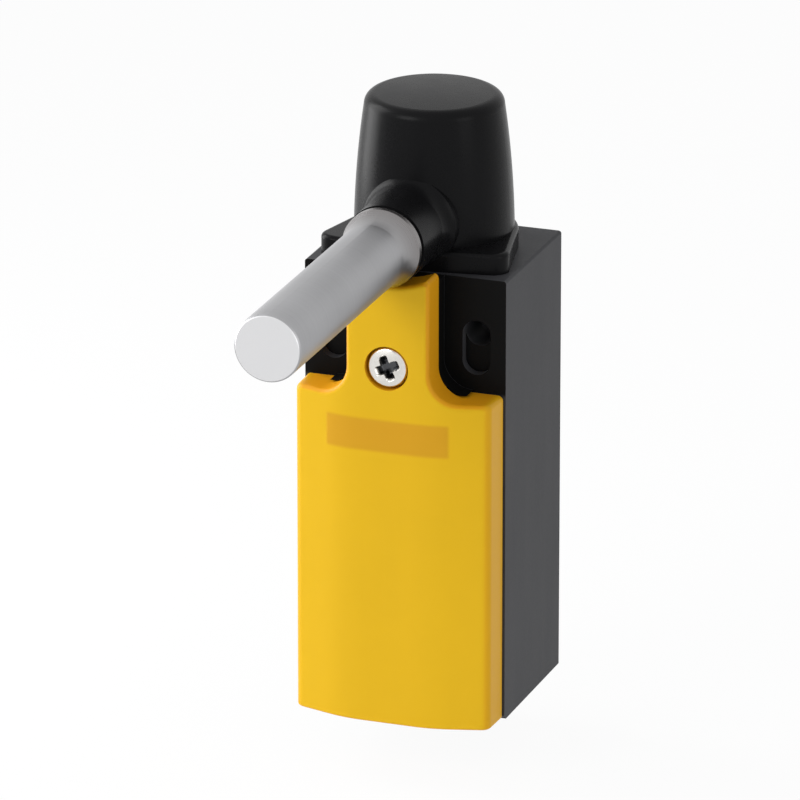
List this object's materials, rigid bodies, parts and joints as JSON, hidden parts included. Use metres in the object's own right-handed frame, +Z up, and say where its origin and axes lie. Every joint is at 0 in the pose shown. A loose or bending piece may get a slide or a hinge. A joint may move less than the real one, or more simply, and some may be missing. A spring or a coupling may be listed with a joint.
{
  "type": "safety hinge switch",
  "caption": "Slim safety switch: moulded body, yellow screwed cover and round head with a solid steel shaft that a guard's hinge turns to open its contacts.",
  "frame": {"origin": "centre of the cable entry's mouth on the bottom face, straight below the axis of the round head", "axes": "+Z up from the cable entry to the head, -Y the way the shaft points and the yellow cover faces, +X to the right seen from the front"},
  "size_m": [0.031, 0.0813, 0.0916],
  "materials": {
    "housing_plastic": "dark grey moulded plastic, satin",
    "cover_plastic": "yellow moulded plastic, satin",
    "head_plastic": "black moulded plastic, satin with soft highlights",
    "bright_steel": "fine ground stainless steel",
    "spring_steel": "drawn spring steel",
    "zinc_steel": "bright zinc plated steel",
    "brass": "plain brass",
    "bronze": "sintered bronze",
    "contact_copper": "copper alloy with silver rivets",
    "seal_rubber": "black nitrile rubber",
    "cam_plastic": "natural acetal",
    "guide_plastic": "dark grey moulded plastic",
    "white_plastic": "off-white moulded plastic",
    "block_plastic": "mid grey glass filled plastic",
    "block_front_plastic": "smoke grey moulded plastic"
  },
  "bodies": {
    "housing": {"housing_base": "housing_plastic", "cover_gasket": "seal_rubber", "threaded_insert": "brass", "head_housing": "head_plastic", "head_seal": "seal_rubber", "head_screws": "zinc_steel", "shaft_bush": "bronze", "shaft_seal": "seal_rubber", "plunger_guide": "guide_plastic", "plunger_seal": "seal_rubber", "plunger_spring": "spring_steel", "contact_block_body": "block_plastic", "contact_block_front": "block_front_plastic", "fixed_contacts": "brass", "terminal_clamps": "zinc_steel", "terminal_screws": "zinc_steel", "block_screws": "zinc_steel", "carrier_spring": "spring_steel"},
    "shaft": {"shaft": "bright_steel", "cam": "cam_plastic", "cam_pin": "bright_steel", "shaft_clip": "spring_steel"},
    "plunger": {"head_plunger": "bright_steel"},
    "carrier": {"contact_carrier": "white_plastic", "contact_bridges": "contact_copper", "bridge_springs": "spring_steel"},
    "cover": {"front_cover": "cover_plastic", "screw_retainer": "white_plastic"},
    "screw": {"cover_screw": "zinc_steel"}
  },
  "joints": [
    {"name": "shaft_turn", "type": "hinge", "parent": "housing", "child": "shaft", "pos_m": [0, -0.0215, 0.0745], "axis": [0, -1, 0], "range_deg": [0, 90], "stiffness_Nm_per_rad": 0.002, "springref_deg": -57.3},
    {"name": "plunger_slide", "type": "slide", "parent": "housing", "child": "plunger", "axis": [0, 0, -1], "range_m": [0, 0.0026], "deforming": ["plunger_spring"]},
    {"name": "carrier_slide", "type": "slide", "parent": "housing", "child": "carrier", "axis": [0, 0, -1], "range_m": [0, 0.0026], "deforming": ["carrier_spring"]},
    {"name": "cover_tilt", "type": "hinge", "parent": "housing", "child": "cover", "pos_m": [0, -0.0108, 0.0013], "axis": [1, 0, 0], "range_deg": [0, 85]},
    {"name": "cover_screw_turn", "type": "hinge", "parent": "cover", "child": "screw", "pos_m": [0, -0.0185, 0.0555], "axis": [0, -1, 0], "continuous": true}
  ],
  "couplings": [
    {"joint": "plunger_slide", "follows": "shaft_turn", "m_per_rad": 0.001655},
    {"joint": "carrier_slide", "follows": "shaft_turn", "m_per_rad": 0.001655}
  ]
}
